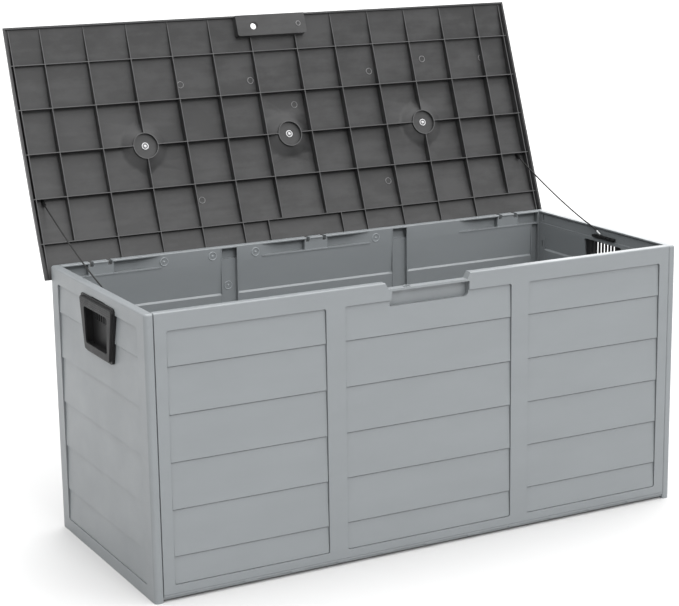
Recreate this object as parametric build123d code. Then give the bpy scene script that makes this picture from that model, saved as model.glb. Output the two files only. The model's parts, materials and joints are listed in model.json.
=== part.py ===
from build123d import *
import math
import os

# Deck storage box: five interlocking wall and floor panels, a domed lid on three
# pinned hinges, two carrying handles and two lid stays. Millimetres, +Z up.
# Origin: centre of the footprint, on the ground. +X along the front, +Y to the back.
# The lid rests open, as far as its stays let it go.

# ---------------------------------------------------------------- driving dimensions
LENGTH = 1100.0            # body, end to end
DEPTH = 461.0              # body, front to back
RIM = 512.0                # height of the open rim
WALL = 16.5                # double wall, outer face to inner face
SKIN = 2.2                 # each skin of a double wall
SEAM = 0.25                # gap at each end of the front and back panels
PANEL_LIFT = 10.0          # bottom edge of the front and back panels
RAIL = 3.0                 # thickness of the rim and of the shelf under it

# clapboard relief
COURSE_DEEP = 3.8          # top of a course, below the outer face
COURSE_SHALLOW = 1.5       # butt edge of a course
INNER_STEP = 3.5           # inner face steps by this much, at 45 degrees
BUTT_SLOPE = 0.5           # height over which a butt edge steps in
BUTT_GROOVE = (1.3, 1.0)   # height and extra depth of the groove under each butt
BAY_RADIUS = 4.0
FRONT_BAYS = [(-512.0, -211.0), (-173.5, 173.5), (211.0, 512.0)]
FRONT_BAY_Z = (29.0, 480.0)
FRONT_TOP_BUTT = 417.0
FRONT_PITCH = 84.3
SIDE_BAY = (-194.0, 194.0)
SIDE_BAY_Z = (24.0, 483.0)
SIDE_TOP_BUTT = 430.0
SIDE_PITCH = 86.0
CORNER_RADIUS = 7.0
HOOK_SLOTS = [492.0, 435.0, 235.0, 60.0]
COURSE_LINES = 5
CHANNEL = (175.0, 207.5)   # inside channel behind each middle stile
END_CHANNEL = (514.0, 530.5)
CHANNEL_DEPTH = 8.0
BEAD = (1.6, 0.8)          # width and height of the bead along each side of a channel
DRIP_GROOVE = (13.0, 14.2)  # groove above the bottom edge of the front and back panels
SIDE_LEDGE = 3.0           # the side panels' inner face steps back above the shelf
RIM_GROOVE = (3.0, 1.5)    # height and extra depth of the groove under the side panels' rim

# lock bar and grip pocket in the front rim
LOCK_CENTRE = -4.0
NOTCH_TOP = 89.0
NOTCH_BOTTOM = 82.0
BAR_TOP = 500.0
BAR_BOTTOM = 496.0
POCKET_TOP = (-78.5, 82.5)   # ends of the pocket's top and bottom edges
POCKET_BOTTOM = (-83.0, 81.5)
POCKET_FLOOR = 468.0
LOCK_X = -44.0
LOCK_Y = -222.3
LOCK_RADIUS = 5.5
COLLAR = (7.6, 1.2)        # radius and height of the raised ring round the padlock hole

# hinges
PIVOT_Y = 228.0
PIVOT_Z = 498.0
STATIONS = [-455.0, 0.0, 455.0]
STATION_NAMES = ["left", "centre", "right"]
TAB_HALF = 25.5            # solid block at each station
EAR_OFFSET = 18.5          # ear centre from the station's centre
EAR = 5.0                  # ear thickness
EAR_RADIUS = 8.0
EAR_SLOT = 8.0
KNUCKLE_RADIUS = 8.0
KNUCKLE_HALF = 14.5
PIN_RADIUS = 3.5
PIN_CLEARANCE = 0.08
PIN_HEAD = 5.5
WINDOW_REACH = 121.0       # far end of each hinge window from its station
WINDOW_RAMP = 47.0         # the last stretch of a window slopes out to the wall
TAB_BACK = 1.8             # the block's face is this far behind the wall
SILL = (2.6, 1.2)          # height and width of the bead along the bottom of the windows
SHELF = (484.0, 487.5)
OPEN_ANGLE = 110.5

# lid, in its closed place
LID_HALF = 560.0
LID_BACK = 240.0
LID_FRONT = -247.0
LID_LIP = 509.0
LID_EDGE = 517.0           # top face at the front and back edges
LID_CROWN = 532.0
LID_PLATE = 3.0
LID_DRAFT = 4.7
RIB = 1.6
RIB_PLANE = 512.5
RIB_COLUMNS = [50.0, 137.5, 225.0, 312.5, 400.0, 487.5]
RIB_ROW_START = 69.5       # first row rib from the back edge
RIB_ROW_PITCH = 86.0
RIB_ROWS = 5
EDGE_RIB = 549.5           # full-depth ribs beside the end skirts
HINGE_RIB = 82.0           # short ribs beside the centre hinge
BOSSES = [-312.5, 0.0, 312.5]
BOSS_RADIUS = 26.0
BOSS_FLOOR = 6.0           # depth of a boss's floor below the ribs' edges
BOSS_RIM = 5.0             # height of its rim above the sloping foot
BOSS_FOOT = 58.0           # radius that the foot slopes out to
LOCK_TAB_HALF = 77.0
LOCK_TAB_DEPTH = 44.0
LOCK_TAB_UNDER = 501.2
LOCK_TAB_PLATE = 4.0       # thickness of the tab round the padlock hole
LOCK_POCKET = (19.0, 16.0)  # the pocket over the hole: half width, and reach behind the hole

# handles: half widths and heights of the top and bottom edges of each outline
HANDLE_AHEAD = 14.5        # centre of each handle, forward of the box's middle
HANDLE_TOP = (82.4, 494.0)
HANDLE_BOTTOM = (63.5, 391.0)
GRIP_TOP = (56.0, 474.0)
GRIP_BOTTOM = (51.0, 408.0)
HANDLE_PROUD = 6.5
HANDLE_DRAFT = 9.0
FRONT_PLATE = 4.0          # thickness of the frame in front of the wider cup
CUP_SPREAD = 4.0           # the cup is this much wider than its mouth
CUP_END = 12.5
CUP_WALL = 2.5
VENTS = 8
VENT_FIRST = -30.0
VENT_PITCH = 11.1
VENT_WIDTH = 6.4
VENT_BOTTOM = 450.0
FLANGE = (2.0, 3.0)        # the frame's outer flange: height, and how far it reaches past the frame
FINGER_GAP = (-30.0, 34.0, 1.6)  # slot over the frame's top edge: its two ends and its height

# floor
FLOOR_TOP = 20.0
FLOOR_PLATE = 3.0
EDGE_TABS = 11
EDGE_TAB_PITCH = 91.9
EDGE_TAB = 24.0
EDGE_TAB_BOTTOM = 7.6
FLOOR_RIB = (5.0, 3.0)     # bottom edge and thickness of the floor's ribs
FOOT_HALF = 30.0

# stays
CORD_DIAMETER = 3.0
ANCHOR_Y = (-54.0, 18.0)
ANCHOR_Z = (489.6, 494.8)
ANCHOR_FACE = 3.8          # the anchor bar's face stands this far inside the wall
SEAT_DEPTH = 1.6           # depth of the bar's seat in the wall
ANCHOR_NOTCHES = [-42.0, -30.0, 3.0]
CLIP_RADIUS = 3.2
CLIP_LENGTH = 22.0         # before the lid's plate trims it
# route of the right stay, lid open: from the clip's face down to the sleeve
STAY_ROUTE = [
    (533.5, 292.5, 614.4),
    (533.1, 262.0, 600.7),
    (532.4, 210.0, 578.3),
    (531.7, 155.0, 556.0),
    (531.0, 100.0, 535.9),
    (530.5, 62.0, 523.3),
    (530.1, 34.0, 515.0),
    (529.9, 12.0, 509.0),
    (529.7, 0.0, 503.6),
]
SLEEVE = 12.5              # sleeve length, in line with the route's last run
SLEEVE_RADIUS = 1.9
EYE = (529.4, -10.6)       # eye on the anchor bar that holds the sleeve
EYE_RADIUS = 3.4


# ---------------------------------------------------------------- small helpers
STANDING = (Align.CENTER, Align.CENTER, Align.MIN)


def block(x0, x1, y0, y1, z0, z1):
    return Pos(x0, y0, z0) * Box(x1 - x0, y1 - y0, z1 - z0, align=(Align.MIN,) * 3)


def along_x(points, x0, x1):
    """A section given as (depth, height) points, drawn out from x0 to x1."""
    return extrude(Plane.YZ.offset(x0) * Polygon(*points, align=None), x1 - x0, dir=(1, 0, 0))


def along_y(sketch, y0, y1):
    """A sketch in (x, z), drawn out from y0 to y1."""
    return extrude(Plane.XZ.offset(-y0) * sketch, y1 - y0, dir=(0, 1, 0))


def rod(x0, x1, y, z, radius):
    return Pos((x0 + x1) / 2, y, z) * Rot(0, 90, 0) * Cylinder(radius, x1 - x0)


def mirrored_x(shape):
    return mirror(shape, about=Plane.YZ)


def butts(top, pitch):
    return [top - i * pitch for i in range(COURSE_LINES)]


def zigzag(lines, z_range, deep, shallow, ramp, lift=0.0):
    """Clapboard profile from the top down: deep under each butt, shallow above it."""
    points = [(deep, z_range[1])]
    for z in lines:
        points += [(shallow, z + ramp + lift), (deep, z + lift)]
    return points + [(shallow, z_range[0])]


# ---------------------------------------------------------------- double walls
def outer_cut(bay, z_range, lines):
    """What is cut away in front of the clapboards of one bay."""
    face = zigzag(lines, z_range, COURSE_DEEP, COURSE_SHALLOW, BUTT_SLOPE)
    cut = along_x([(-1, z_range[1])] + face + [(-1, z_range[0])], *bay)
    tall, extra = BUTT_GROOVE
    for z in lines:
        cut += block(*bay, COURSE_SHALLOW, COURSE_DEEP + extra, z - tall, z)
    width, height = bay[1] - bay[0], z_range[1] - z_range[0]
    centre = Pos(sum(bay) / 2, sum(z_range) / 2)
    window = centre * RectangleRounded(width, height, BAY_RADIUS)
    border = window - centre * RectangleRounded(width - 2, height - 2, BAY_RADIUS - 1)
    cut += along_y(border, 0, COURSE_DEEP + extra)
    return cut & along_y(window, -2, WALL)


def inner_cut(reach, z_range, lines):
    """The same relief on the inner face, with sloping steps."""
    face = zigzag(lines, z_range, WALL, WALL - INNER_STEP, INNER_STEP)
    return along_x([(WALL + 1, z_range[1])] + face + [(WALL + 1, z_range[0])], *reach)


def cavity(bay, z_range, lines, z_top, z_bottom, rail_back=0.0):
    """The hollow between the two skins, open at the bottom edge."""
    near = zigzag(lines, z_range, COURSE_DEEP + SKIN, COURSE_SHALLOW + SKIN, BUTT_SLOPE, SKIN)
    far = zigzag(lines, z_range, WALL - SKIN, WALL - SKIN - INNER_STEP, INNER_STEP, -1.0)
    x0, x1 = bay[0] + SKIN, bay[1] - SKIN
    hollow = along_x(near + far[::-1], x0, x1)
    hollow += block(x0, x1, COURSE_DEEP + 1, WALL - SKIN - INNER_STEP, z_bottom - 1, z_range[0] + 1)
    if z_top > z_range[1]:
        hollow += block(x0, x1, RAIL, WALL - RAIL - rail_back, z_range[1] - 1, z_top)
    return hollow


def long_panel(rail_hollow_top):
    """Front or back panel: outer face at y=0, thickness towards +Y."""
    half = LENGTH / 2 - WALL - SEAM
    lines = butts(FRONT_TOP_BUTT, FRONT_PITCH)
    panel = block(-half, half, 0, WALL, PANEL_LIFT, RIM)
    rim_edges = panel.edges().filter_by(Axis.X).group_by(Axis.Z)[-1].sort_by(Axis.Y)
    panel = fillet(rim_edges[0], 2.5)
    panel = fillet(panel.edges().filter_by(Axis.X).group_by(Axis.Z)[-1].sort_by(Axis.Y)[-1], 1.5)
    for bay in FRONT_BAYS:
        panel -= outer_cut(bay, FRONT_BAY_Z, lines)
    panel -= inner_cut((-END_CHANNEL[0], END_CHANNEL[0]), FRONT_BAY_Z, lines)
    for side in (1, -1):
        for (x0, x1), top in ((CHANNEL, RIM - RAIL), (END_CHANNEL, SHELF[0])):
            ends = sorted((side * x0, side * x1))
            panel -= block(*ends, WALL - CHANNEL_DEPTH, WALL + 1, FRONT_BAY_Z[0], top)
        for x in (CHANNEL[0] - BEAD[0], CHANNEL[1], END_CHANNEL[0] - BEAD[0]):
            ends = sorted((side * x, side * (x + BEAD[0])))
            top = SHELF[0] if x > CHANNEL[1] else RIM - RAIL
            panel += block(*ends, WALL - INNER_STEP - 1, WALL + BEAD[1], FRONT_BAY_Z[0], top)
    panel -= block(-half - 1, half + 1, -1, 0.8, *DRIP_GROOVE)
    for bay in FRONT_BAYS:
        top = max(FRONT_BAY_Z[1], rail_hollow_top)
        panel -= cavity(bay, FRONT_BAY_Z, lines, top, PANEL_LIFT)
    return panel


def lock_housing():
    """Solid round the grip pocket and the notch, less what shows in front of the courses."""
    housing = block(-NOTCH_BOTTOM - SKIN, NOTCH_BOTTOM + 2 * SKIN, 0, WALL, POCKET_FLOOR - SKIN, RIM - 5)
    housing -= block(-NOTCH_TOP, NOTCH_TOP, -1, COURSE_DEEP, 0, FRONT_BAY_Z[1])
    ends = NOTCH_TOP + SKIN
    return housing + block(-ends, ends, 0.5, WALL - 0.5, FRONT_BAY_Z[1], RIM - 1)


def front_panel():
    panel = long_panel(RIM - RAIL)
    panel += Pos(LOCK_CENTRE, 0, 0) * lock_housing()
    notch = Polygon((-NOTCH_TOP, RIM + 1), (-NOTCH_BOTTOM, BAR_TOP), (NOTCH_BOTTOM, BAR_TOP),
                    (NOTCH_TOP, RIM + 1), align=None)
    panel -= Pos(LOCK_CENTRE, 0, 0) * along_y(notch, -1, WALL + 1)
    grip = Polygon((POCKET_TOP[0], BAR_BOTTOM), (POCKET_BOTTOM[0], POCKET_FLOOR),
                   (POCKET_BOTTOM[1], POCKET_FLOOR), (POCKET_TOP[1], BAR_BOTTOM), align=None)
    lower = grip.vertices().group_by(Axis.Y)[0].sort_by(Axis.X)
    grip = fillet(lower[1], 8.0)
    grip = fillet(grip.vertices().group_by(Axis.Y)[0].sort_by(Axis.X)[0], 2.0)
    panel -= along_y(grip, -1, WALL - SKIN)
    hole = Pos(LOCK_X, LOCK_Y + DEPTH / 2, BAR_TOP)
    panel += hole * Cylinder(COLLAR[0], 2 * COLLAR[1])
    panel -= hole * Cylinder(LOCK_RADIUS, 20)
    return Pos(0, -DEPTH / 2, 0) * panel


def hinge_window(near, far):
    """Opening beside a hinge block; past its full depth it slopes out to the wall."""
    side = 1 if far > near else -1
    turn = far - side * WINDOW_RAMP
    outline = Polygon((near, WALL + 1), (near, RAIL), (turn, RAIL), (far, WALL), (far, WALL + 1),
                      align=None)
    return Pos(0, 0, SHELF[1]) * extrude(outline, RIM - RAIL - SHELF[1], dir=(0, 0, 1))


def back_panel():
    """Built facing forward with its outer face at y=0, then turned to the back."""
    panel = long_panel(0)
    half = LENGTH / 2 - WALL - SEAM
    panel -= block(-half + RAIL, half - RAIL, RAIL, WALL - RAIL, SHELF[1], RIM - RAIL)
    pivot = DEPTH / 2 - PIVOT_Y
    for x in STATIONS:
        panel -= block(x - TAB_HALF, x + TAB_HALF, WALL - TAB_BACK, WALL + 1, SHELF[1], RIM - RAIL)
        panel += block(x - TAB_HALF, x + TAB_HALF, 1.0, WALL - TAB_BACK, SHELF[0], RIM - 1)
        for side in (1, -1):
            near, far = x + side * TAB_HALF, x + side * WINDOW_REACH
            if abs(far) < half:
                ramp = sorted((far - side * WINDOW_RAMP, far))
                panel += block(*ramp, RAIL - 1, WALL, SHELF[0], RIM - 1)
                panel -= hinge_window(near, far)
            else:
                end = side * (half - 4)
                panel -= block(*sorted((near, end)), RAIL, WALL + 1, SHELF[1], RIM - RAIL)
            sill = sorted((x, far if abs(far) < half else side * (half - 4)))
            panel += block(*sill, WALL - 1, WALL + SILL[1], SHELF[1] - SILL[0], SHELF[1])
        panel += rod(x - KNUCKLE_HALF, x + KNUCKLE_HALF, pivot, PIVOT_Z, KNUCKLE_RADIUS)
        for side in (1, -1):
            ear = x + side * EAR_OFFSET
            slot = (ear - EAR_SLOT / 2, ear + EAR_SLOT / 2)
            panel -= block(*slot, -12, WALL - SKIN, PIVOT_Z - EAR_RADIUS - 3.5, RIM + 1)
            panel -= block(*slot, WALL - SKIN - 1, WALL + 1, RIM - 8.5, RIM + 1)
        panel -= rod(x - 24, x + 24, pivot, PIVOT_Z, PIN_RADIUS + PIN_CLEARANCE)
    panel = Pos(0, -DEPTH / 2, 0) * panel
    return mirror(panel, about=Plane.XZ)


def trapezoid(top, bottom, radius, grow=0.0):
    """Handle outline: half widths and heights of its top and bottom edges."""
    outline = Polygon((-top[0] - grow, top[1] + grow), (-bottom[0] - grow, bottom[1] - grow),
                      (bottom[0] + grow, bottom[1] - grow), (top[0] + grow, top[1] + grow),
                      align=None)
    return Pos(HANDLE_AHEAD, 0) * fillet(outline.vertices(), radius)


def left_side_panel():
    """Built with its outer face at y=0, then turned so that the face looks along -X."""
    half = DEPTH / 2
    lines = butts(SIDE_TOP_BUTT, SIDE_PITCH)
    panel = block(-half, half, 0, WALL, 0, RIM)
    rim = panel.edges().filter_by(Axis.X).group_by(Axis.Z)[-1].sort_by(Axis.Y)
    panel = fillet(rim[-1], 1.5)
    corners = panel.edges().filter_by(Axis.Z).group_by(Axis.Y)[0]
    panel = fillet(corners, CORNER_RADIUS)
    outer_rim = panel.edges().filter_by_position(Axis.Z, RIM - 0.1, RIM + 0.1)
    panel = fillet([e for e in outer_rim if e.center().Y < WALL / 2], 4.0)
    panel -= outer_cut(SIDE_BAY, SIDE_BAY_Z, lines)
    panel -= inner_cut(SIDE_BAY, (SIDE_BAY_Z[0], SHELF[0] - 4), lines)
    panel -= cavity(SIDE_BAY, SIDE_BAY_Z, lines, RIM - RAIL, 0, SIDE_LEDGE)
    reach = half - WALL - 1
    panel -= block(-reach, reach, WALL - SIDE_LEDGE, WALL + 1, SHELF[1], RIM - RAIL)
    panel -= block(-reach, reach, WALL - SIDE_LEDGE - RIM_GROOVE[1], WALL + 1,
                   RIM - RAIL - RIM_GROOVE[0], RIM - RAIL)
    panel += along_y(trapezoid(HANDLE_TOP, HANDLE_BOTTOM, 6.0, 2.0), COURSE_DEEP, WALL - INNER_STEP)
    panel -= along_y(trapezoid(HANDLE_TOP, HANDLE_BOTTOM, 7.0, 0.3), -1, COURSE_DEEP)
    mouth = trapezoid(GRIP_TOP, GRIP_BOTTOM, 5.0, CUP_SPREAD + CUP_WALL + 0.4)
    panel -= along_y(mouth, -1, WALL + 1)
    near, far, tall = FINGER_GAP
    panel -= block(HANDLE_AHEAD + near, HANDLE_AHEAD + far, -1, COURSE_DEEP + 1,
                   HANDLE_TOP[1], HANDLE_TOP[1] + tall)
    # slots for the snap hooks of the front and back panels
    for x in (-half + WALL + 12, half - WALL - 12):
        for z in HOOK_SLOTS:
            panel -= block(x - 2, x + 2, WALL - SKIN - SIDE_LEDGE, WALL + 1, z, z + 15)
    # seat of the stay's anchor bar
    seat = WALL - SIDE_LEDGE - SEAT_DEPTH
    panel -= block(-ANCHOR_Y[1] - 0.2, -ANCHOR_Y[0] + 0.2, seat, WALL, ANCHOR_Z[0] - 0.2, ANCHOR_Z[1] + 0.2)
    return Pos(-LENGTH / 2, 0, 0) * Rot(0, 0, -90) * panel


def floor_panel():
    """Ribbed plate between the walls, with tabs and a set-back edge under the long panels."""
    half_x = LENGTH / 2 - WALL - 0.3
    half_y = DEPTH / 2 - WALL - 0.3
    panel = block(-half_x, half_x, -half_y, half_y, FLOOR_TOP - FLOOR_PLATE, FLOOR_TOP)
    bottom, rib = FLOOR_RIB
    tab_top = PANEL_LIFT - 0.3
    edge = block(-half_x, half_x, 0, WALL - 2.0, bottom, tab_top)
    panel += Pos(0, -half_y - WALL + 2.0 + 1.0, 0) * edge
    panel += Pos(0, half_y - 1.0, 0) * edge
    for i in range(EDGE_TABS):
        x = (i - EDGE_TABS // 2) * EDGE_TAB_PITCH
        panel += block(x - rib / 2, x + rib / 2, -half_y, half_y, bottom, FLOOR_TOP - 1)
        tab = block(x - EDGE_TAB / 2, x + EDGE_TAB / 2, 0, 5.0, EDGE_TAB_BOTTOM, tab_top)
        panel += Pos(0, -DEPTH / 2 + 0.5, 0) * tab
        panel += Pos(0, DEPTH / 2 - 5.5, 0) * tab
    for y in (-half_y, -half_y / 2, 0, half_y / 2, half_y - rib):
        panel += block(-half_x, half_x, y, y + rib, bottom, FLOOR_TOP - 1)
    for x in (-half_x, half_x - rib):
        panel += block(x, x + rib, -half_y, half_y, bottom, FLOOR_TOP - 1)
    for x in (-4 * EDGE_TAB_PITCH, 0, 4 * EDGE_TAB_PITCH):
        panel += block(x - FOOT_HALF, x + FOOT_HALF, -FOOT_HALF, FOOT_HALF, 0, FLOOR_TOP - 1)
    return panel


# ---------------------------------------------------------------- lid
def dome(inset, z_low):
    """The lid's outer form, or the hollow under its plate when inset."""
    front, back = LID_FRONT + inset, LID_BACK - inset
    middle = (front + back) / 2
    edge, crown = LID_EDGE - inset, LID_CROWN - inset
    arc = ThreePointArc((back - 1, edge), (middle, crown), (front + 1, edge))
    outline = Polyline((front + 1, edge), (front, z_low), (back, z_low), (back - 1, edge))
    along = extrude(Plane.YZ.offset(-LID_HALF - 5) * make_face([arc, outline]), 2 * LID_HALF + 10)
    half = LID_HALF - inset
    draft = LID_DRAFT * (crown - z_low) / (LID_CROWN - LID_LIP)
    ends = Polygon((-half, z_low), (half, z_low), (half - draft, crown), (-half + draft, crown),
                   align=None)
    return along & along_y(ends, front - 5, back + 5)


def lid():
    """The lid in its closed place."""
    shell = dome(0, LID_LIP)
    top_edges = [e for e in shell.edges() if e.center().Z > LID_EDGE - 0.5]
    shell = fillet(top_edges, 2.5)
    shell -= dome(LID_PLATE, LID_LIP - 5)
    ribs = Part()
    rows = [LID_BACK - RIB_ROW_START - i * RIB_ROW_PITCH for i in range(RIB_ROWS)]
    for y in rows:
        ribs += block(-LID_HALF, LID_HALF, y - RIB / 2, y + RIB / 2, RIB_PLANE, LID_CROWN)
    for side in (1, -1):
        for x in RIB_COLUMNS:
            back = rows[0] if x in (RIB_COLUMNS[0], RIB_COLUMNS[-1]) else LID_BACK
            at = side * x
            ribs += block(at - RIB / 2, at + RIB / 2, LID_FRONT, back, RIB_PLANE, LID_CROWN)
        at = side * EDGE_RIB
        ribs += block(at - RIB / 2, at + RIB / 2, LID_FRONT, LID_BACK, RIB_PLANE, LID_CROWN)
        at = side * HINGE_RIB
        ribs += block(at - RIB / 2, at + RIB / 2, rows[0], LID_BACK, RIB_PLANE, LID_CROWN)
    for x in BOSSES:
        ribs -= Pos(x, 0, LID_LIP) * Cylinder(BOSS_RADIUS, 80)
        stand = Cone(BOSS_RADIUS + 0.5, BOSS_FOOT, LID_CROWN - RIB_PLANE - BOSS_RIM, align=STANDING)
        boss = Cylinder(BOSS_RADIUS, 20, align=STANDING) + Pos(0, 0, BOSS_RIM) * stand
        boss -= Cylinder(BOSS_RADIUS - RIB, 2 * BOSS_FLOOR)
        boss += Pos(0, 0, BOSS_FLOOR) * Cylinder(3.0, 3.0)
        ribs += Pos(x, 0, RIB_PLANE) * boss
    pad = RectangleRounded(2 * LOCK_TAB_HALF, 2 * LOCK_TAB_DEPTH, 5.0)
    tab = Pos(LOCK_CENTRE, LID_FRONT, LOCK_TAB_UNDER) * extrude(pad, 40)
    tab &= block(-LID_HALF, LID_HALF, LID_FRONT, 0, 0, LID_CROWN)
    ribs += tab
    body = shell + (ribs & dome(LID_PLATE / 2, LOCK_TAB_UNDER - 0.01))
    for x in STATIONS:
        for side in (1, -1):
            at = x + side * EAR_OFFSET
            ear = rod(at - EAR / 2, at + EAR / 2, PIVOT_Y, PIVOT_Z, EAR_RADIUS)
            ear += block(at - EAR / 2, at + EAR / 2, PIVOT_Y - EAR_RADIUS, PIVOT_Y + EAR_RADIUS,
                         PIVOT_Z, LID_EDGE - 1.5)
            body += ear
        body -= rod(x - 24, x + 24, PIVOT_Y, PIVOT_Z, PIN_RADIUS)
    body -= Pos(LOCK_X, LOCK_Y, LID_LIP) * Cylinder(LOCK_RADIUS + 1.0, 80)
    body -= Pos(LOCK_X, LOCK_Y, LOCK_TAB_UNDER) * Cylinder(COLLAR[0] + 1.2, 2 * COLLAR[1])
    half, reach = LOCK_POCKET
    body -= block(LOCK_X - half, LOCK_X + half, LID_FRONT + 4, LOCK_Y + reach,
                  LOCK_TAB_UNDER + LOCK_TAB_PLATE, LID_CROWN)
    return body


def hinge_pin(x):
    """A pin across both ears, with a round head on its right end."""
    reach = EAR_OFFSET + EAR / 2
    pin = rod(x - reach, x + reach, PIVOT_Y, PIVOT_Z, PIN_RADIUS)
    return pin + rod(x + reach, x + reach + 1.2, PIVOT_Y, PIVOT_Z, PIN_HEAD)


def opened(shape):
    """Swing a closed lid piece about the hinge line to its rest place."""
    return Pos(0, PIVOT_Y, PIVOT_Z) * Rot(-OPEN_ANGLE, 0, 0) * Pos(0, -PIVOT_Y, -PIVOT_Z) * shape


# ---------------------------------------------------------------- handles
def left_handle():
    """Tapered frame let into the wall, with a wider vented cup behind its mouth."""
    outline = trapezoid(HANDLE_TOP, HANDLE_BOTTOM, 7.0, -FLANGE[1])
    frame = extrude(Plane.XZ * outline, HANDLE_PROUD, taper=HANDLE_DRAFT)
    front = [e for e in frame.edges() if abs(e.center().Y + HANDLE_PROUD) < 0.01]
    frame = fillet(front, 1.6)
    frame += along_y(trapezoid(HANDLE_TOP, HANDLE_BOTTOM, 7.0), -FLANGE[0], COURSE_DEEP)
    inside = CUP_END - CUP_WALL
    handle = frame + along_y(trapezoid(GRIP_TOP, GRIP_BOTTOM, 5.0, CUP_SPREAD + CUP_WALL), 0, CUP_END)
    handle -= along_y(trapezoid(GRIP_TOP, GRIP_BOTTOM, 5.0), -HANDLE_PROUD - 1, inside)
    handle -= along_y(trapezoid(GRIP_TOP, GRIP_BOTTOM, 5.0, CUP_SPREAD), FRONT_PLATE - HANDLE_PROUD, inside)
    for i in range(VENTS):
        x = VENT_FIRST + i * VENT_PITCH
        handle -= block(x - VENT_WIDTH / 2, x + VENT_WIDTH / 2, inside - 5, CUP_END + 1,
                        VENT_BOTTOM, GRIP_TOP[1] + CUP_SPREAD + CUP_WALL + 1)
    return Pos(-LENGTH / 2, 0, 0) * Rot(0, 0, -90) * handle


# ---------------------------------------------------------------- stays
def stay_anchor():
    """Bar let into the right side panel's rail, with an eye for the cord."""
    inner = LENGTH / 2 - WALL
    back = inner + SIDE_LEDGE + SEAT_DEPTH
    bar = block(inner - ANCHOR_FACE, back, *ANCHOR_Y, *ANCHOR_Z)
    bar = fillet(bar.edges().filter_by(Axis.X), 2.4)
    for y in ANCHOR_NOTCHES:
        bar -= block(inner - ANCHOR_FACE - 1, inner, y - 1.5, y + 1.5, ANCHOR_Z[0] + 2, ANCHOR_Z[1] + 1)
    eye = Pos(*EYE, ANCHOR_Z[1] - 1) * Cylinder(EYE_RADIUS, 5.0)
    return bar + eye


def stay_clip():
    """Slanting plug under the lid that holds the cord's upper end, lid open."""
    start, after = Vector(*STAY_ROUTE[0]), Vector(*STAY_ROUTE[1])
    plug = extrude(Plane(origin=start, z_dir=start - after) * Circle(CLIP_RADIUS), CLIP_LENGTH)
    return plug - opened(lid_around(start))


def lid_around(place):
    """Everything above the plate's underside and in front of the nearest row rib, lid closed."""
    reach = 30
    cover = block(place.X - reach, place.X + reach, 0, 2 * reach + 90, LID_LIP, LID_CROWN + 5)
    rib_face = LID_BACK - RIB_ROW_START - RIB_ROW_PITCH + RIB / 2 + 0.1
    ahead = block(place.X - reach, place.X + reach, 0, rib_face, LID_LIP, LID_CROWN)
    return cover - dome(LID_PLATE, LID_LIP - 5) + ahead


def turn_radii(points):
    """Bend radius at each inner point: 0.45 of the shorter run over tan(half the turn)."""
    radii = []
    for a, b, c in zip(points, points[1:], points[2:]):
        before, after = Vector(*b) - Vector(*a), Vector(*c) - Vector(*b)
        half_turn = math.radians(before.get_angle(after)) / 2
        radii.append(0.45 * min(before.length, after.length) / math.tan(half_turn))
    return radii


def stay_cord():
    radii = turn_radii(STAY_ROUTE)
    print("stay radii", [round(r, 1) for r in radii])
    path = FilletPolyline(*STAY_ROUTE, radius=radii)
    section = Plane(origin=path @ 0, z_dir=path % 0) * Circle(CORD_DIAMETER / 2)
    tube = sweep(section, path=path)
    area = math.pi * CORD_DIAMETER ** 2 / 4
    ratio = tube.volume / (area * path.length)
    print("stay length", round(path.length, 1), "volume ratio", round(ratio, 4))
    return tube


def stay_sleeve():
    """Crimp sleeve on the cord's lower end, in line with it, down to the anchor's eye."""
    before, start = Vector(*STAY_ROUTE[-2]), Vector(*STAY_ROUTE[-1])
    sleeve = extrude(Plane(origin=start, z_dir=start - before) * Circle(SLEEVE_RADIUS), SLEEVE)
    return sleeve - stay_anchor()


# ---------------------------------------------------------------- write the pieces
pieces = {
    "front_panel": front_panel(),
    "back_panel": back_panel(),
    "left_side_panel": left_side_panel(),
    "floor_panel": floor_panel(),
    "lid": opened(lid()),
    "left_handle": left_handle(),
    "right_stay_anchor": stay_anchor(),
    "right_stay_clip": stay_clip(),
    "right_stay_cord": stay_cord(),
    "right_stay_sleeve": stay_sleeve(),
}
for name, x in zip(STATION_NAMES, STATIONS):
    pieces["hinge_pin_" + name] = opened(hinge_pin(x))
for name in ("side_panel", "handle"):
    pieces["right_" + name] = mirrored_x(pieces["left_" + name])
for name in ("stay_anchor", "stay_clip", "stay_cord", "stay_sleeve"):
    pieces["left_" + name] = mirrored_x(pieces["right_" + name])

os.makedirs("parts", exist_ok=True)
for name, shape in pieces.items():
    export_step(shape, f"parts/{name}.step")
    print(name, len(shape.solids()), round(shape.volume / 1000, 1), "cm3")
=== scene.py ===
import json
import math

import bmesh
import bpy
from mathutils import Matrix, Vector


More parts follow.
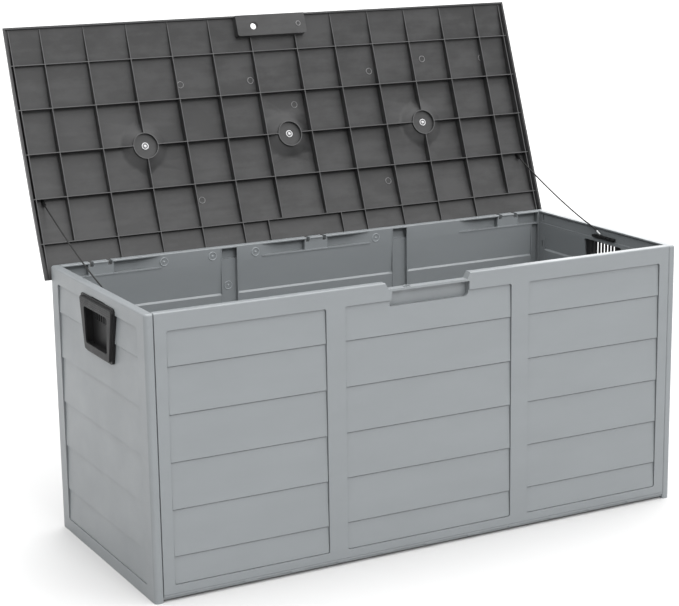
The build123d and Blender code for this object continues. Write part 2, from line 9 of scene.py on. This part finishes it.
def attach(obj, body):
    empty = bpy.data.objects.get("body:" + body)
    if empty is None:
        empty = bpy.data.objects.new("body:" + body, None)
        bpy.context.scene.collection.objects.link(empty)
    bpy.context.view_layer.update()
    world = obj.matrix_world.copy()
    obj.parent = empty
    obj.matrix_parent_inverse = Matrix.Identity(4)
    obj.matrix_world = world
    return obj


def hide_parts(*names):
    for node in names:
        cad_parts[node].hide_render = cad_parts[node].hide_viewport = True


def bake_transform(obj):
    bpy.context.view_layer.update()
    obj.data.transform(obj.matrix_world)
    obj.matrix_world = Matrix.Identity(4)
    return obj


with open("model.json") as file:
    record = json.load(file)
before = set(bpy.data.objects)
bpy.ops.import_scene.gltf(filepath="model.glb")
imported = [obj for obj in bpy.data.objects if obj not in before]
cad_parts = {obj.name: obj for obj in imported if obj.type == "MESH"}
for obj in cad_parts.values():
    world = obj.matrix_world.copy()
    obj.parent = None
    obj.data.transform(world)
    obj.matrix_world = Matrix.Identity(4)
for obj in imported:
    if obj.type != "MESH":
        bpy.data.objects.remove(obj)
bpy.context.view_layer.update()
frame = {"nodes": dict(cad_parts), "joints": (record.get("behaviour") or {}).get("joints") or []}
nodes = frame["nodes"]


# ---------------------------------------------------------------- places from the frame
hinge = frame["joints"][0]
PIVOT = Vector(hinge["pos_m"])
OPEN_ANGLE = math.radians(-hinge["range_deg"][0])


def opened(point):
    """A point on the closed lid, swung to where the lid rests."""
    turn = Matrix.Rotation(-OPEN_ANGLE, 3, "X")
    return PIVOT + turn @ (Vector(point) - PIVOT)


# ---------------------------------------------------------------- camera
CAMERA_AT = (-1.6571, -3.0200, 1.2287)
CAMERA_AZIMUTH = math.radians(-28.594)
CAMERA_ELEVATION = math.radians(13.537)
CAMERA_ROLL = math.radians(-0.661)
SENSOR_WIDTH = 36.0
LENS = 98.4
SHIFT = (-0.0359, 0.0147)
FAR_CLIP = 60.0


def make_camera():
    data = bpy.data.cameras.new("camera")
    data.sensor_width = SENSOR_WIDTH
    data.lens = LENS
    data.shift_x, data.shift_y = SHIFT
    data.clip_end = FAR_CLIP
    camera = bpy.data.objects.new("camera", data)
    bpy.context.scene.collection.objects.link(camera)
    tilt = Matrix.Rotation(math.pi / 2 - CAMERA_ELEVATION, 4, "X")
    turn = Matrix.Rotation(CAMERA_AZIMUTH, 4, "Z")
    roll = Matrix.Rotation(CAMERA_ROLL, 4, "Z")
    camera.matrix_world = Matrix.Translation(CAMERA_AT) @ turn @ tilt @ roll
    bpy.context.scene.camera = camera


make_camera()


# ---------------------------------------------------------------- materials
WALL_GREY = (0.178, 0.191, 0.199)
LID_GREY = (0.0305, 0.0305, 0.031)
HANDLE_GREY = (0.016, 0.016, 0.0165)
PIN_GREY = (0.33, 0.35, 0.36)
CORD_BLACK = (0.006, 0.006, 0.006)
SLEEVE_DARK = (0.30, 0.31, 0.32)
SLEEVE_LIGHT = (0.55, 0.56, 0.57)
RIB_EDGE = 0.5125            # height of the ribs' edges with the lid closed
EDGE_HIGHLIGHT_HEIGHT = 0.0012       # how far up the ribs the painted highlight reaches
EDGE_HIGHLIGHT_FROM = 0.0003         # the full painted highlight starts this far below the edges
NO_EDGE_HIGHLIGHT_BELOW = 0.0008      # and nothing lower than this gets the painted highlight, as the skirt and the tab
EDGE_HIGHLIGHT_SHADE = 1.9           # the painted highlight's brightness on the rib edges, against the lid's
GRIP_TOP = 0.474             # top of the handles' mouths: the grip's dots start above it
RAMP_ENDS = (0.3, 0.7)       # the stretch of a noise that most of its values fall in


class Graph:
    """A small node graph around one Principled shader."""

    def __init__(self, name):
        self.material = bpy.data.materials.new(name)
        self.material.use_nodes = True
        self.tree = self.material.node_tree
        self.shader = self.tree.nodes["Principled BSDF"]
        self.place = self.tree.nodes.new("ShaderNodeTexCoord").outputs["Object"]

    def node(self, kind, **settings):
        made = self.tree.nodes.new(kind)
        for key, value in settings.items():
            if key in made.inputs:
                made.inputs[key].default_value = value
            else:
                setattr(made, key, value)
        return made

    def link(self, source, target):
        self.tree.links.new(source, target)

    def stretched(self, scale):
        mapping = self.node("ShaderNodeMapping")
        mapping.inputs["Scale"].default_value = scale
        self.link(self.place, mapping.inputs["Vector"])
        return mapping.outputs["Vector"]

    def noise(self, scale, detail=2.0, roughness=0.5, vector=None):
        made = self.node("ShaderNodeTexNoise", Scale=scale, Detail=detail, Roughness=roughness)
        self.link(vector or self.place, made.inputs["Vector"])
        return made.outputs["Fac"]

    def mapped(self, value, low, high, from_low=RAMP_ENDS[0], from_high=RAMP_ENDS[1]):
        made = self.node("ShaderNodeMapRange")
        self.link(value, made.inputs["Value"])
        made.inputs["From Min"].default_value = from_low
        made.inputs["From Max"].default_value = from_high
        made.inputs["To Min"].default_value = low
        made.inputs["To Max"].default_value = high
        return made.outputs["Result"]

    def tinted(self, value, dark, light):
        ramp = self.node("ShaderNodeValToRGB")
        ramp.color_ramp.elements[0].color = (*dark, 1)
        ramp.color_ramp.elements[1].color = (*light, 1)
        ramp.color_ramp.elements[0].position = RAMP_ENDS[0]
        ramp.color_ramp.elements[1].position = RAMP_ENDS[1]
        self.link(value, ramp.inputs["Fac"])
        return ramp.outputs["Color"]

    def bump(self, height, distance, strength=1.0, below=None):
        made = self.node("ShaderNodeBump", Strength=strength, Distance=distance)
        self.link(height, made.inputs["Height"])
        if below is not None:
            self.link(below, made.inputs["Normal"])
        return made.outputs["Normal"]


def shade(colour, factor):
    return tuple(min(1.0, c * factor) for c in colour)


def moulded_plastic(name, colour, roughness, grain, grain_depth, mottle, specular=0.5):
    """Moulded plastic: fine spark grain, faint flow marks and slight mottling."""
    g = Graph(name)
    g.shader.inputs["Specular IOR Level"].default_value = specular
    flow = g.noise(1.0, 4.0, 0.6, g.stretched((5.0, 5.0, 16.0)))
    g.link(g.tinted(flow, shade(colour, 1 - mottle), shade(colour, 1 + mottle)),
           g.shader.inputs["Base Color"])
    smudge = g.noise(9.0, 3.0, 0.6)
    g.link(g.mapped(smudge, roughness - 0.05, roughness + 0.07), g.shader.inputs["Roughness"])
    coarse = g.bump(g.noise(14.0, 2.0), 0.0006, 0.35)
    fine = g.bump(g.noise(grain, 3.0, 0.6), grain_depth, 0.6, coarse)
    g.link(fine, g.shader.inputs["Normal"])
    return g.material


def lid_moulding():
    """Dark moulded lid: cloudy flow marks, and ribs whose edges carry a painted highlight, paler than the
    lid.
    """
    g = Graph("lid_plastic")
    g.shader.inputs["Specular IOR Level"].default_value = 0.28
    flow = g.noise(1.0, 4.0, 0.62, g.stretched((14.0, 24.0, 24.0)))
    streaks = g.noise(1.0, 3.0, 0.5, g.stretched((7.0, 90.0, 90.0)))
    clouds = g.node("ShaderNodeMath", operation="ADD")
    g.link(g.mapped(flow, 0.0, 0.75), clouds.inputs[0])
    g.link(g.mapped(streaks, 0.0, 0.25), clouds.inputs[1])
    body = g.tinted(clouds.outputs["Value"], shade(LID_GREY, 0.80), shade(LID_GREY, 1.20))
    closed = g.node("ShaderNodeVectorRotate")
    closed.rotation_type = "X_AXIS"
    closed.inputs["Center"].default_value = PIVOT
    closed.inputs["Angle"].default_value = OPEN_ANGLE
    g.link(g.place, closed.inputs["Vector"])
    split = g.node("ShaderNodeSeparateXYZ")
    g.link(closed.outputs["Vector"], split.inputs["Vector"])
    # painted highlight: a band along the ribs' edges is painted paler, where light catches them
    highlight_top_fade = g.mapped(split.outputs["Z"], 1.0, 0.0, RIB_EDGE, RIB_EDGE + EDGE_HIGHLIGHT_HEIGHT)
    below = g.mapped(split.outputs["Z"], 0.0, 1.0, RIB_EDGE - NO_EDGE_HIGHLIGHT_BELOW, RIB_EDGE - EDGE_HIGHLIGHT_FROM)
    both = g.node("ShaderNodeMath", operation="MULTIPLY")
    g.link(highlight_top_fade, both.inputs[0])
    g.link(below, both.inputs[1])
    blend = g.node("ShaderNodeMix", data_type="RGBA")
    g.link(both.outputs["Value"], blend.inputs[0])
    g.link(body, blend.inputs[6])
    blend.inputs[7].default_value = (*shade(LID_GREY, EDGE_HIGHLIGHT_SHADE), 1)
    g.link(blend.outputs[2], g.shader.inputs["Base Color"])
    g.link(g.mapped(flow, 0.36, 0.54), g.shader.inputs["Roughness"])
    sunk = g.bump(g.noise(11.0, 2.0), 0.0009, 0.4)
    g.link(g.bump(g.noise(700.0, 3.0, 0.6), 0.00012, 0.6, sunk), g.shader.inputs["Normal"])
    return g.material


def gripped_plastic():
    """Charcoal moulding with raised dots over the parts that a hand takes hold of."""
    g = Graph("handle_plastic")
    g.shader.inputs["Specular IOR Level"].default_value = 0.4
    g.shader.inputs["IOR"].default_value = 1.22
    flow = g.noise(30.0, 3.0, 0.6)
    g.link(g.tinted(flow, shade(HANDLE_GREY, 0.85), shade(HANDLE_GREY, 1.2)), g.shader.inputs["Base Color"])
    g.link(g.mapped(flow, 0.32, 0.46), g.shader.inputs["Roughness"])
    dots = g.node("ShaderNodeTexVoronoi", Scale=260.0, Randomness=0.15)
    g.link(g.place, dots.inputs["Vector"])
    raised = g.mapped(dots.outputs["Distance"], 1.0, 0.0, 0.15, 0.45)
    split = g.node("ShaderNodeSeparateXYZ")
    g.link(g.place, split.inputs["Vector"])
    held = g.mapped(split.outputs["Z"], 0.0, 1.0, GRIP_TOP + 0.001, GRIP_TOP + 0.003)
    both = g.node("ShaderNodeMath", operation="MULTIPLY")
    g.link(raised, both.inputs[0])
    g.link(held, both.inputs[1])
    dotted = g.bump(both.outputs["Value"], 0.0010, 0.8)
    g.link(g.bump(g.noise(800.0, 3.0, 0.6), 0.00014, 0.6, dotted), g.shader.inputs["Normal"])
    return g.material


wall_plastic = moulded_plastic("wall_plastic", WALL_GREY,
                               roughness=0.36, grain=900.0, grain_depth=0.00012, mottle=0.03)
lid_plastic = lid_moulding()
handle_plastic = gripped_plastic()
dark_plastic = moulded_plastic("dark_plastic", shade(HANDLE_GREY, 0.5),
                               roughness=0.42, grain=800.0, grain_depth=0.00014, mottle=0.08, specular=0.3)
pin_plastic = moulded_plastic("pin_plastic", PIN_GREY,
                              roughness=0.35, grain=1200.0, grain_depth=0.00005, mottle=0.03)
# painted highlight: the lid's ring marks are the lid's plastic painted five times paler, for the glints on
# them
lid_mark_highlight = moulded_plastic("lid_mark_highlight", shade(LID_GREY, 5.0),
                               roughness=0.30, grain=700.0, grain_depth=0.00003, mottle=0.05)
# painted highlight: the back wall's ring marks and studs are the wall's plastic painted paler, for the
# light on their relief
wall_mark_highlight = moulded_plastic("wall_mark_highlight", shade(WALL_GREY, 1.45),
                                roughness=0.35, grain=900.0, grain_depth=0.00003, mottle=0.03)
# painted highlight: the boss studs are the lid's plastic painted far paler, for the bright glints on them
stud_highlight = moulded_plastic("stud_highlight", shade(LID_GREY, 16.0),
                            roughness=0.25, grain=900.0, grain_depth=0.00003, mottle=0.05)


def twisted_cord():
    """Black cord with fine slanting bands over its strands."""
    g = Graph("cord_black")
    g.shader.inputs["Base Color"].default_value = (*CORD_BLACK, 1)
    g.shader.inputs["Specular IOR Level"].default_value = 0.3
    wave = g.node("ShaderNodeTexWave", Scale=260.0, Distortion=1.5)
    wave.wave_type = "BANDS"
    wave.bands_direction = "DIAGONAL"
    g.link(g.place, wave.inputs["Vector"])
    g.link(g.mapped(wave.outputs["Fac"], 0.5, 0.7, 0.0, 1.0), g.shader.inputs["Roughness"])
    g.link(g.bump(wave.outputs["Fac"], 0.0003, 0.5), g.shader.inputs["Normal"])
    return g.material


def crimped_metal():
    """Dull light sleeve with fine scratches along it."""
    g = Graph("sleeve_metal")
    g.shader.inputs["Metallic"].default_value = 0.7
    scratches = g.noise(60.0, 3.0, 0.6, g.stretched((1.0, 12.0, 12.0)))
    g.link(g.tinted(scratches, SLEEVE_DARK, SLEEVE_LIGHT), g.shader.inputs["Base Color"])
    g.link(g.mapped(scratches, 0.3, 0.45), g.shader.inputs["Roughness"])
    g.link(g.bump(scratches, 0.0002, 0.4), g.shader.inputs["Normal"])
    return g.material


cord_black = twisted_cord()
sleeve_metal = crimped_metal()

NODE_MATERIALS = {
    wall_plastic: ["front_panel", "back_panel", "left_side_panel", "right_side_panel", "floor_panel"],
    lid_plastic: ["lid"],
    handle_plastic: ["left_handle", "right_handle"],
    dark_plastic: ["left_stay_anchor", "right_stay_anchor", "left_stay_clip", "right_stay_clip"],
    pin_plastic: ["hinge_pin_left", "hinge_pin_centre", "hinge_pin_right"],
    sleeve_metal: ["left_stay_sleeve", "right_stay_sleeve"],
    cord_black: ["left_stay_cord", "right_stay_cord"],
}
for material, names in NODE_MATERIALS.items():
    for name in names:
        nodes[name].data.materials.clear()
        nodes[name].data.materials.append(material)


# ---------------------------------------------------------------- moulded edges
WALL_EDGE = 0.0005           # widths of the rounded edges
LID_EDGE = 0.0003
HANDLE_EDGE = 0.0005
EDGE_SEGMENTS = 2
SHARP_EDGE = math.radians(32)
SAME_POINT = 0.00001
AREA_WEIGHT = 100


def soften(name, width):
    """Rounds a moulding's sharp edges, as its draft and radii do."""
    piece = nodes[name]
    weld = piece.modifiers.new("weld", "WELD")
    weld.merge_threshold = SAME_POINT
    bevel = piece.modifiers.new("bevel", "BEVEL")
    bevel.width = width
    bevel.segments = EDGE_SEGMENTS
    bevel.limit_method = "ANGLE"
    bevel.angle_limit = SHARP_EDGE
    bevel.use_clamp_overlap = True
    flatten = piece.modifiers.new("flatten", "WEIGHTED_NORMAL")
    flatten.mode = "FACE_AREA"
    flatten.weight = AREA_WEIGHT
    flatten.keep_sharp = False


for name in ("front_panel", "back_panel", "left_side_panel", "right_side_panel"):
    soften(name, WALL_EDGE)
soften("lid", LID_EDGE)
for name in ("left_handle", "right_handle"):
    soften(name, HANDLE_EDGE)


# ---------------------------------------------------------------- stays
CORD_DIAMETER = 0.003
CORD_STRANDS = 3
CORD_LAY = 0.011             # length of one turn of a strand
CORD_STEP = 0.0012
CORD_SIDES = 18
STRAND_GROOVE = 0.10         # half the grooves' depth, as a share of the radius
LINE_RESOLUTION = 24
# the right stay with the lid open, from the lid down to its anchor; the left one mirrors it
STAY_ROUTE = [
    (0.5335, 0.2925, 0.6144),
    (0.5331, 0.2620, 0.6007),
    (0.5324, 0.2100, 0.5783),
    (0.5317, 0.1550, 0.5560),
    (0.5310, 0.1000, 0.5359),
    (0.5305, 0.0620, 0.5233),
    (0.5301, 0.0340, 0.5150),
    (0.5299, 0.0120, 0.5090),
    (0.5297, 0.0000, 0.5036),
]


def new_piece(name, shape, material):
    """A smooth-shaded object made of a bmesh, which it uses up."""
    data = bpy.data.meshes.new(name)
    shape.to_mesh(data)
    shape.free()
    data.materials.append(material)
    for face in data.polygons:
        face.use_smooth = True
    piece = bpy.data.objects.new(name, data)
    bpy.context.scene.collection.objects.link(piece)
    return piece


def smooth_line(route):
    """The points of a smooth spline that has the route's points as its control points."""
    curve = bpy.data.curves.new("route", "CURVE")
    curve.dimensions = "3D"
    curve.resolution_u = LINE_RESOLUTION
    spline = curve.splines.new("NURBS")
    spline.points.add(len(route) - 1)
    for point, place in zip(spline.points, route):
        point.co = (*place, 1)
    spline.order_u = 3
    spline.use_endpoint_u = True
    carrier = bpy.data.objects.new("route", curve)
    bpy.context.scene.collection.objects.link(carrier)
    bpy.context.view_layer.update()
    mesh = bpy.data.meshes.new_from_object(carrier)
    points = [Vector(v.co) for v in mesh.vertices]
    bpy.data.objects.remove(carrier)
    return points


def evenly_along(points, step):
    """Places a step apart along a line, each with its direction and its distance from the start."""
    places, left, travelled = [], 0.0, 0.0
    for near, far in zip(points, points[1:]):
        run = (far - near).length
        if run == 0:
            continue
        direction = (far - near) / run
        at = left
        while at < run:
            places.append((near + direction * at, direction, travelled + at))
            at += step
        left = at - run
        travelled += run
    places.append((points[-1], direction, travelled))
    return places, travelled


def laid_cord(name, points, material):
    """A cord of twisted strands along the points, closed at both ends."""
    shape = bmesh.new()
    places, length = evenly_along(points, CORD_STEP)
    rings = []
    for place, direction, along in places:
        across = direction.cross(Vector((0, 0, 1))).normalized()
        up = across.cross(direction)
        ring = []
        for side in range(CORD_SIDES):
            angle = math.tau * side / CORD_SIDES
            twist = angle - math.tau * along / CORD_LAY
            crest = abs(math.cos(CORD_STRANDS * twist / 2))
            radius = CORD_DIAMETER / 2 * (1 - STRAND_GROOVE * 2 * (1 - crest))
            ring.append(shape.verts.new(place + radius * (math.cos(angle) * across + math.sin(angle) * up)))
        rings.append(ring)
    for near, far in zip(rings, rings[1:]):
        for side in range(CORD_SIDES):
            after = (side + 1) % CORD_SIDES
            shape.faces.new((near[side], near[after], far[after], far[side]))
    shape.faces.new(list(reversed(rings[0])))
    shape.faces.new(rings[-1])
    bmesh.ops.recalc_face_normals(shape, faces=shape.faces)
    return new_piece(name, shape, material), length


def make_stay(side, sign):
    route = [(sign * x, y, z) for x, y, z in STAY_ROUTE]
    line = smooth_line(route)
    cord, length = laid_cord(side + "_stay", line, cord_black)
    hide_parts(side + "_stay_cord")
    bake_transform(cord)


make_stay("left", -1)
make_stay("right", 1)


# ---------------------------------------------------------------- marks left by the mould
RING_SIDES = 32
DOME_SIDES = 24
RING_SUNK = 0.0002           # how far a ring's foot goes into the surface
DOME_SUNK = 0.0003


def ring_on(shape, place, normal, radius, width, height):
    """A low raised ring on a surface."""
    turn = normal.to_track_quat("Z", "Y").to_matrix()
    shoulder = height * 0.6
    profile = [(-width / 2, -RING_SUNK), (-width / 2, shoulder), (-width / 4, height),
               (width / 4, height), (width / 2, shoulder), (width / 2, -RING_SUNK)]
    loops = []
    for out, up in profile:
        loop = []
        for i in range(RING_SIDES):
            angle = math.tau * i / RING_SIDES
            local = Vector(((radius + out) * math.cos(angle), (radius + out) * math.sin(angle), up))
            loop.append(shape.verts.new(place + turn @ local))
        loops.append(loop)
    for near, far in zip(loops, loops[1:] + loops[:1]):
        for i in range(RING_SIDES):
            after = (i + 1) % RING_SIDES
            shape.faces.new((near[i], near[after], far[after], far[i]))


def dome_on(shape, place, normal, radius, height):
    """A low rounded stud on a surface."""
    turn = normal.to_track_quat("Z", "Y").to_matrix()
    loops = []
    for share in (1.0, 0.96, 0.84, 0.62, 0.32):
        loop = []
        up = height * math.sqrt(max(0.0, 1 - share ** 2)) - (DOME_SUNK if share == 1.0 else 0)
        for i in range(DOME_SIDES):
            angle = math.tau * i / DOME_SIDES
            local = Vector((radius * share * math.cos(angle), radius * share * math.sin(angle), up))
            loop.append(shape.verts.new(place + turn @ local))
        loops.append(loop)
    for near, far in zip(loops, loops[1:]):
        for i in range(DOME_SIDES):
            after = (i + 1) % DOME_SIDES
            shape.faces.new((near[i], near[after], far[after], far[i]))
    shape.faces.new(loops[-1])
    shape.faces.new(list(reversed(loops[0])))


def surface(node, start, direction):
    """Where a line from a point first meets a node, and the normal there."""
    found, place, normal, _ = nodes[node].ray_cast(start, direction)
    return (place, normal) if found else (None, None)


# x and y on the closed lid, and x and z on the back wall
LID_MARKS = [(-0.214, -0.118), (-0.061, -0.117), (-0.211, 0.116), (0.028, -0.061), (0.212, -0.119),
             (0.343, -0.137), (0.489, -0.131), (0.210, 0.115)]
LID_BOSSES = [(-0.3125, 0.0), (0.0, 0.0), (0.3125, 0.0)]
TAB_MARK = (0.056, -0.223)
BACK_WALL_MARKS = [(-0.328, 0.497), (-0.227, 0.497), (-0.135, 0.496), (0.135, 0.4955)]
CHANNEL_MARK = (-0.192, 0.434)
LID_UNDERSIDE = 0.490        # a height below the closed lid's ribs
UP_INTO_LID = opened((0, 0, 1)) - opened((0, 0, 0))
LID_RING = (0.0062, 0.0014, 0.0010)         # each ring's radius, width and height
TAB_RING = (0.0046, 0.0014, 0.0009)
BOSS_RING = (0.0062, 0.0022, 0.0016)
WALL_RING = (0.0078, 0.0016, 0.0010)
BOSS_STUD = (0.0034, 0.0018)                # each stud's radius and height
WALL_STUD = (0.0022, 0.0010)
BOSS_STUD_UP = 0.0008        # the boss's stud stands this far above its floor
BESIDE_STUB = 0.008          # the boss's floor is met this far beside the stub in its middle


def mark_piece(name, shape, material, body):
    """Marks made as one piece and riding on their body."""
    piece = new_piece(name, shape, material)
    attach(piece, body)


def make_marks():
    lid_marks = bmesh.new()
    for x, y in LID_MARKS:
        place, normal = surface("lid", opened((x, y, LID_UNDERSIDE)), UP_INTO_LID)
        ring_on(lid_marks, place, normal, *LID_RING)
    x, y = TAB_MARK
    place, normal = surface("lid", opened((x, y, LID_UNDERSIDE)), UP_INTO_LID)
    ring_on(lid_marks, place, normal, *TAB_RING)
    mark_piece("lid_mould_marks", lid_marks, lid_mark_highlight, "lid")
    studs = bmesh.new()
    for x, y in LID_BOSSES:
        place, normal = surface("lid", opened((x + BESIDE_STUB, y, LID_UNDERSIDE)), UP_INTO_LID)
        middle = place - (opened((x + BESIDE_STUB, y, 0)) - opened((x, y, 0)))
        ring_on(studs, middle, normal, *BOSS_RING)
        dome_on(studs, middle + normal * BOSS_STUD_UP, normal, *BOSS_STUD)
    mark_piece("lid_boss_studs", studs, stud_highlight, "lid")
    wall_marks = bmesh.new()
    for x, z in BACK_WALL_MARKS + [CHANNEL_MARK]:
        place, normal = surface("back_panel", Vector((x, 0.0, z)), Vector((0, 1, 0)))
        ring_on(wall_marks, place, normal, *WALL_RING)
        dome_on(wall_marks, place, normal, *WALL_STUD)
    mark_piece("back_wall_mould_marks", wall_marks, wall_mark_highlight, "box")


make_marks()


# ---------------------------------------------------------------- stage and light
FLOOR_HALF = 200.0
FLOOR_GREY = (0.49, 0.49, 0.49)
FLOOR_ROUGHNESS = 0.9
SKY = [(0.0, 1.0), (0.10, 1.0), (0.18, 0.65), (1.0, 4.6)]   # height, as a direction's Z, and strength
SKY_TOP = SKY[-1][1]
SKY_SIDES = (0.48, 1.16)     # the sky's share at the far left and the far right
REAR_PANEL_AT = (0.479, 0.878, 0.0)   # a bright panel behind the box, which its rims mirror
REAR_PANEL = 3.0             # the brightness of its middle, against the sky beside it
REAR_PANEL_EDGE = 0.78       # cosine of the angle from its middle to its edge


def make_stage():
    floor = bpy.data.objects.new("floor", bpy.data.meshes.new("floor"))
    bpy.context.scene.collection.objects.link(floor)
    shape = bmesh.new()
    bmesh.ops.create_grid(shape, x_segments=1, y_segments=1, size=FLOOR_HALF)
    shape.to_mesh(floor.data)
    shape.free()
    pale = bpy.data.materials.new("pale_floor")
    pale.use_nodes = True
    shader = pale.node_tree.nodes["Principled BSDF"]
    shader.inputs["Base Color"].default_value = (*FLOOR_GREY, 1)
    shader.inputs["Roughness"].default_value = FLOOR_ROUGHNESS
    floor.data.materials.append(pale)
    make_sky()


def make_sky():
    """Studio light: brightest at the ceiling, dimmer on the left, with a bright panel behind the box."""
    world = bpy.data.worlds.new("studio")
    world.use_nodes = True
    tree = world.node_tree
    place = tree.nodes.new("ShaderNodeTexCoord")
    split = tree.nodes.new("ShaderNodeSeparateXYZ")
    tree.links.new(place.outputs["Generated"], split.inputs["Vector"])
    ramp = tree.nodes.new("ShaderNodeFloatCurve")
    curve = ramp.mapping.curves[0]
    curve.points[0].location = (0.0, SKY[0][1] / SKY_TOP)
    curve.points[1].location = (1.0, 1.0)
    for height, strength in SKY[1:-1]:
        curve.points.new(height, strength / SKY_TOP)
    for point in curve.points:
        point.handle_type = "VECTOR"
    ramp.mapping.update()
    tree.links.new(split.outputs["Z"], ramp.inputs["Value"])
    scale = tree.nodes.new("ShaderNodeMath")
    scale.operation = "MULTIPLY"
    scale.inputs[1].default_value = SKY_TOP
    tree.links.new(ramp.outputs["Value"], scale.inputs[0])
    across = tree.nodes.new("ShaderNodeMapRange")
    across.inputs["From Min"].default_value = -1.0
    across.inputs["To Min"].default_value, across.inputs["To Max"].default_value = SKY_SIDES
    tree.links.new(split.outputs["X"], across.inputs["Value"])
    both = tree.nodes.new("ShaderNodeMath")
    both.operation = "MULTIPLY"
    tree.links.new(scale.outputs["Value"], both.inputs[0])
    tree.links.new(across.outputs["Result"], both.inputs[1])
    facing = tree.nodes.new("ShaderNodeVectorMath")
    facing.operation = "DOT_PRODUCT"
    facing.inputs[1].default_value = REAR_PANEL_AT
    tree.links.new(place.outputs["Generated"], facing.inputs[0])
    behind = tree.nodes.new("ShaderNodeMapRange")
    behind.inputs["From Min"].default_value = REAR_PANEL_EDGE
    behind.inputs["To Min"].default_value = 1.0
    behind.inputs["To Max"].default_value = REAR_PANEL
    tree.links.new(facing.outputs["Value"], behind.inputs["Value"])
    all_round = tree.nodes.new("ShaderNodeMath")
    all_round.operation = "MULTIPLY"
    tree.links.new(both.outputs["Value"], all_round.inputs[0])
    tree.links.new(behind.outputs["Result"], all_round.inputs[1])
    background = tree.nodes["Background"]
    background.inputs["Color"].default_value = (1, 1, 1, 1)
    tree.links.new(all_round.outputs["Value"], background.inputs["Strength"])
    bpy.context.scene.world = world


def key_light(azimuth, elevation, strength, spread):
    """Soft parallel light; azimuth is measured from straight in front, to the right."""
    data = bpy.data.lights.new("key", "SUN")
    data.energy = strength
    data.angle = math.radians(spread)
    lamp = bpy.data.objects.new("key", data)
    across, up = math.radians(azimuth), math.radians(elevation)
    towards = Vector((math.sin(across) * math.cos(up), -math.cos(across) * math.cos(up), math.sin(up)))
    lamp.rotation_euler = towards.to_track_quat("Z", "Y").to_euler()
    bpy.context.scene.collection.objects.link(lamp)


make_stage()
key_light(azimuth=4, elevation=34, strength=1.0, spread=16)
bpy.context.scene.view_settings.view_transform = "Standard"
